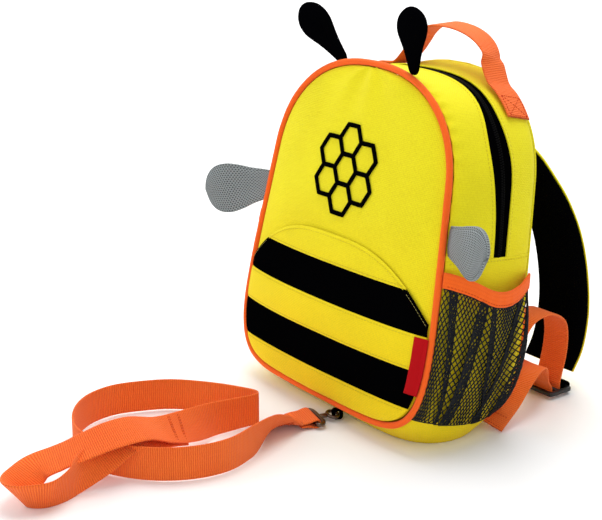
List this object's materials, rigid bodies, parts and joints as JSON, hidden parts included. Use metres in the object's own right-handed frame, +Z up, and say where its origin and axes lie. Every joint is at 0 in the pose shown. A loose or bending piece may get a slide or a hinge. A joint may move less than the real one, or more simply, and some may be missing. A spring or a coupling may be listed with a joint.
{
  "type": "toddler harness backpack",
  "caption": "Small yellow and black bee-striped toddler backpack with antennae, wings, net side pockets, carry handle and an orange webbing safety tether",
  "frame": {"origin": "on the floor under the middle of the bag", "axes": "+Z up, the front of the bag faces -Y, +X is the right side seen from the front"},
  "size_m": [0.3377, 0.461, 0.3081],
  "materials": {
    "yellow_cloth": "woven polyester, matt",
    "black_cloth": "woven polyester, matt",
    "orange_webbing": "ribbed webbing",
    "grey_mesh": "spacer mesh",
    "net": "coarse knitted net",
    "label": "woven label, bare",
    "plastic": "moulded, satin",
    "metal": "dark plated"
  },
  "bodies": {
    "root": {"front_panel": "yellow_cloth", "pocket_top": "yellow_cloth", "stripe_upper": "black_cloth", "pocket_middle": "yellow_cloth", "stripe_lower": "black_cloth", "pocket_bottom": "yellow_cloth", "front_piping": "orange_webbing", "gusset_front_strip": "yellow_cloth", "zip": "black_cloth", "gusset_rear_strip": "yellow_cloth", "base_gusset": "yellow_cloth", "zip_slider": "plastic", "back_panel": "yellow_cloth", "honeycomb_patch": "black_cloth", "side_label": "label", "carry_handle": "orange_webbing", "antenna_right": "black_cloth", "antenna_left": "black_cloth", "wing_right": "grey_mesh", "wing_left": "grey_mesh", "snap_hook": "metal", "tether_tab": "black_cloth", "tether": "orange_webbing", "side_net_right": "net", "pocket_binding_right": "orange_webbing", "shoulder_strap_right": "black_cloth", "strap_cover_right": "yellow_cloth", "ladder_buckle_right": "plastic", "adjuster_webbing_right": "orange_webbing", "buckle_loop_right": "black_cloth", "side_net_left": "net", "pocket_binding_left": "orange_webbing", "shoulder_strap_left": "black_cloth", "strap_cover_left": "yellow_cloth", "ladder_buckle_left": "plastic", "adjuster_webbing_left": "orange_webbing", "buckle_loop_left": "black_cloth"}
  },
  "joints": []
}
